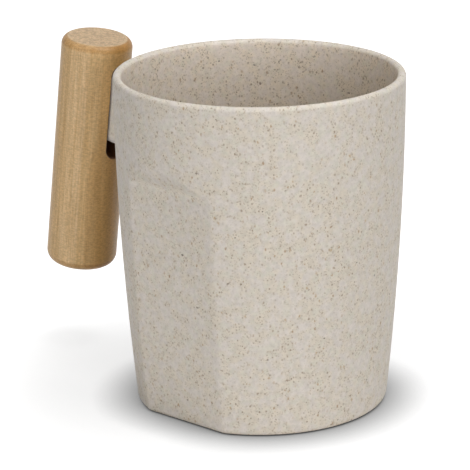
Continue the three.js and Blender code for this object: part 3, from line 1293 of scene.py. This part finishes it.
    def drill(self, skin: Skin, floors: list[list[int]], hollows: list[Hollow]) -> None:
        """Close the hollows' floors round the screw holes, which go from each counterbore to the slot."""
        slot_plate = [floors[0]]
        for (across, along), floor, bore in zip(self.screws(), floors[1:], hollows[1:]):
            ends = []
            for depth in (bore.floor, self.slot_floor):
                ring = hole_ring(depth, across, along, self.screw_hole)
                # The screw holes carry painted shade.
                ends.append(skin.row(ring, {Mark.INSIDE: 1.0}))
            skin.band(*ends)
            skin.plates.append([floor, ends[0]])
            slot_plate.append(ends[1])
        skin.plates.append(slot_plate)

    def on_side(self, places: np.ndarray, side: Side) -> np.ndarray:
        """Put points on the bar's round side.

        Args:
            places: the points' places across the bar and along it.
            side: the side of the bar.

        Returns:
            The points in the bar's own frame.
        """
        depth = side.value * np.sqrt(self.radius**2 - places[:, 0] ** 2)
        return np.column_stack([depth, places])


@dataclass(frozen=True)
class Plug:
    """A short wooden plug that closes a counterbore flush with the bar's side."""

    bar: Bar
    along: float
    radius: float = 2.95 * MM
    inner_end: float = -7 * MM
    ease: float = 0.15 * MM
    ease_steps: int = 3
    face_steps: int = 8
    sides: int = 48

    def build(self) -> Skin:
        """Make the plug in the bar's own frame."""
        skin = Skin()
        grain = {Mark.END_GRAIN: 1.0}
        last: list[int] = []
        for share in shares(self.face_steps):
            ring = self.face_ring((self.radius - self.ease) * share)
            if last:
                last = skin.run(last, [ring], grain)
            else:
                last = skin.row(ring, grain)
                skin.fan(last, self.bar.on_side(np.array([[0, self.along]]), Side.BACK)[0], grain)
        surface = skin.at(last)[:, 0]
        for turn in quarter_turn(self.ease_steps):
            ring = self.face_ring(self.radius - self.ease * (1 - math.sin(turn)))
            ring[:, 0] = surface + self.ease * (1 - math.cos(turn))
            last = skin.run(last, [ring], grain)
        end = hole_ring(self.inner_end, 0, self.along, self.radius, self.sides)
        last = skin.run(last, [end])
        skin.faces.append(tuple(last))
        return skin

    def face_ring(self, radius: float) -> np.ndarray:
        """Give a ring of points on the plug's outer face."""
        ring = hole_ring(0, 0, self.along, radius, self.sides)
        return self.bar.on_side(ring[:, 1:], Side.BACK)


@dataclass(frozen=True)
class Mug:
    """The whole mug."""

    cup: Cup = Cup()
    bar: Bar = Bar()
    plug_ends: Colour = (0.500, 0.330, 0.180)

    def build(self) -> None:
        """Make every piece and dress the screws."""
        place = self.bar.place(self.cup)
        cup = self.cup.build(place, self.bar.screws(), self.bar.screw_hole)
        add_piece(cup, "cup_body", Slot.COMPOSITE, CompositeFinish().build(), Matrix())
        wood = WoodFinish("oiled_wood", place).build()
        add_piece(self.bar.build(), "handle", Slot.HANDLE_WOOD, wood, place)
        plug_wood = WoodFinish("plug_end_grain", place, end=self.plug_ends).build()
        for node, (_, along) in zip(("upper_plug", "lower_plug"), self.bar.screws()):
            add_piece(Plug(self.bar, along).build(), node, Slot.PLUG_WOOD, plug_wood, place)
        steel = SteelFinish().build()
        for node in ("upper_screw", "lower_screw"):
            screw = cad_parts[node]
            for slot in screw.material_slots:
                slot.material = steel
            LOG.info("%s keeps its packed form", screw.name)


def background_rays(tree: bpy.types.NodeTree) -> Socket:
    """Add nodes that tell the rays that show the background from those that light the mug.

    Args:
        tree: the node tree to add them to.

    Returns:
        1 for a ray from the camera, by a reflection or through a clear piece, and 0 for any other.
    """
    path = tree.nodes.new("ShaderNodeLightPath")
    seen = path.outputs["Is Camera Ray"]
    for kind in ("Is Glossy Ray", "Is Transmission Ray"):
        either = tree.nodes.new("ShaderNodeMath")
        either.operation = "MAXIMUM"
        tree.links.new(seen, either.inputs[0])
        tree.links.new(path.outputs[kind], either.inputs[1])
        seen = either.outputs[0]
    return seen


@dataclass(frozen=True)
class Lamp:
    """A soft square lamp, placed by its bearing to the right of the camera and its height angle."""

    name: str
    bearing: float
    elevation: float
    distance: float
    size: float
    power: float


@dataclass(frozen=True)
class Studio:
    """Camera, lamps, a pale floor and a white backdrop.

    The camera's place and turns are those of the photograph, which is taken as square. Angles are in degrees.
    """

    azimuth: float = 41.5
    distance: float = 784.0 * MM
    height: float = 293.83 * MM
    pitch: float = 17.286
    yaw: float = 0.561
    roll: float = -0.727
    focal_pixels: float = 2752.6
    frame_pixels: float = 470
    sensor: float = 36.0
    aim: Triple = (0.0, 0.0, 50 * MM)
    floor_half: float = 3.0
    floor_drop: float = 0.05 * MM
    floor_colour: Colour = (0.88, 0.88, 0.88)
    floor_roughness: float = 0.9
    floor_shown: float = 0.36
    floor_glow: float = 0.75
    glow_spread: Span = (60 * MM, 115 * MM)
    contact_reach: float = 15 * MM
    contact_depth: float = 1.25
    contact_samples: int = 16
    lamps: tuple[Lamp, ...] = (
        Lamp("left", bearing=-45, elevation=8, distance=1.3, size=0.8, power=4.9),
        Lamp("front", bearing=20, elevation=8, distance=1.3, size=0.8, power=6.5),
        Lamp("over", bearing=0, elevation=65, distance=1.3, size=0.5, power=2.4),
        Lamp("right", bearing=60, elevation=62, distance=1.3, size=0.5, power=5.5),
        Lamp("top", bearing=90, elevation=82, distance=1.3, size=0.5, power=6.8),
    )

    def build(self) -> None:
        """Set up the studio."""
        self.add_camera()
        self.add_floor()
        self.add_backdrop()
        for lamp in self.lamps:
            self.add_lamp(lamp)
        bpy.context.scene.view_settings.view_transform = "Standard"

    def add_camera(self) -> None:
        """Put the camera at the photograph's point of view."""
        data = bpy.data.cameras.new("camera")
        data.sensor_width = self.sensor
        data.lens = self.focal_pixels * self.sensor / self.frame_pixels
        camera = bpy.data.objects.new("camera", data)
        turn = math.radians(self.azimuth)
        camera.location = (self.distance * math.sin(turn), -self.distance * math.cos(turn), self.height)
        turns = [(self.azimuth + self.yaw, "Z"), (90 - self.pitch, "X"), (self.roll, "Z")]
        bearing, nod, roll = [Matrix.Rotation(math.radians(angle), 3, axis) for angle, axis in turns]
        camera.rotation_euler = (bearing @ nod @ roll).to_euler()
        bpy.context.scene.collection.objects.link(camera)
        bpy.context.scene.camera = camera

    def add_floor(self) -> None:
        """Lay the floor just under the mug."""
        half = self.floor_half
        level = -self.floor_drop
        mesh = bpy.data.meshes.new("floor")
        corners = [(-half, -half, level), (half, -half, level), (half, half, level), (-half, half, level)]
        mesh.from_pydata(corners, [], [(0, 1, 2, 3)])
        floor = bpy.data.objects.new("floor", mesh)
        bpy.context.scene.collection.objects.link(floor)
        floor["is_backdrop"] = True
        mesh.materials.append(self.floor_material())

    def floor_material(self) -> bpy.types.Material:
        """Make a pale floor that shows white far from the mug, and keeps the mug's shadow near it.

        Rays that light the mug meet the floor's plain colour. Rays that show the background meet a share of
        that colour and a white glow, and both fade into a painted contact shadow where the mug stands close
        over the floor.
        """
        shading = Shading("pale_floor")
        # Painted contact shadow: ambient occlusion darkens the floor near the mug for the rays that show the
        # background.
        inputs = {"Distance": self.contact_reach, "Color": (1.0, 1.0, 1.0, 1.0)}
        contact = shading.node("ShaderNodeAmbientOcclusion", inputs, samples=self.contact_samples)
        free = shading.math("POWER", contact.outputs["AO"], self.contact_depth)
        seen = background_rays(shading.tree)
        shown = shading.math("MULTIPLY", free, self.floor_shown)
        held_back = shading.math("MULTIPLY", seen, shading.math("SUBTRACT", 1.0, shown))
        level = shading.math("SUBTRACT", 1.0, held_back)
        shading.put("Base Color", shading.lit(self.floor_colour, level))
        shading.put("Roughness", self.floor_roughness)
        shading.put("Specular IOR Level", 0.0)
        shading.put("Emission Color", (1.0, 1.0, 1.0))
        away = shading.node("ShaderNodeVectorMath", {0: shading.place}, operation="LENGTH")
        spread = shading.ramp(away.outputs["Value"], *self.glow_spread, self.floor_glow, 1.0)
        glow = shading.math("MULTIPLY", seen, spread)
        shading.put("Emission Strength", shading.math("MULTIPLY", glow, free))
        return shading.material

    def add_backdrop(self) -> None:
        """Show white behind the mug, with no light on it from there."""
        world = bpy.data.worlds.new("backdrop")
        world.use_nodes = True
        bpy.context.scene.world = world
        tree = world.node_tree
        backdrop = tree.nodes["Background"]
        backdrop.inputs["Color"].default_value = (1.0, 1.0, 1.0, 1.0)
        tree.links.new(background_rays(tree), backdrop.inputs["Strength"])

    def add_lamp(self, lamp: Lamp) -> None:
        """Hang one lamp and turn it to the mug."""
        data = bpy.data.lights.new(lamp.name, "AREA")
        data.energy = lamp.power
        data.size = lamp.size
        light = bpy.data.objects.new(lamp.name, data)
        turn = math.radians(self.azimuth + lamp.bearing)
        lift = math.radians(lamp.elevation)
        way = Vector((math.sin(turn) * math.cos(lift), -math.cos(turn) * math.cos(lift), math.sin(lift)))
        light.location = Vector(self.aim) + way * lamp.distance
        light.rotation_euler = way.to_track_quat("Z", "Y").to_euler()
        bpy.context.scene.collection.objects.link(light)
        LOG.info("lamp %s", lamp.name)


def write_sizes() -> None:
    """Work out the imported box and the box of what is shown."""
    boxes = {"cad": CAD_BOX, "visual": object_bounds()}
    {name: [list(corner) for corner in box] for name, box in boxes.items()}


def main() -> None:
    """Build the mug and its studio."""
    logging.basicConfig(level=logging.INFO, format="%(name)s: %(message)s")
    Mug().build()
    Studio().build()
    write_sizes()


if __name__ == "__main__":
    main()
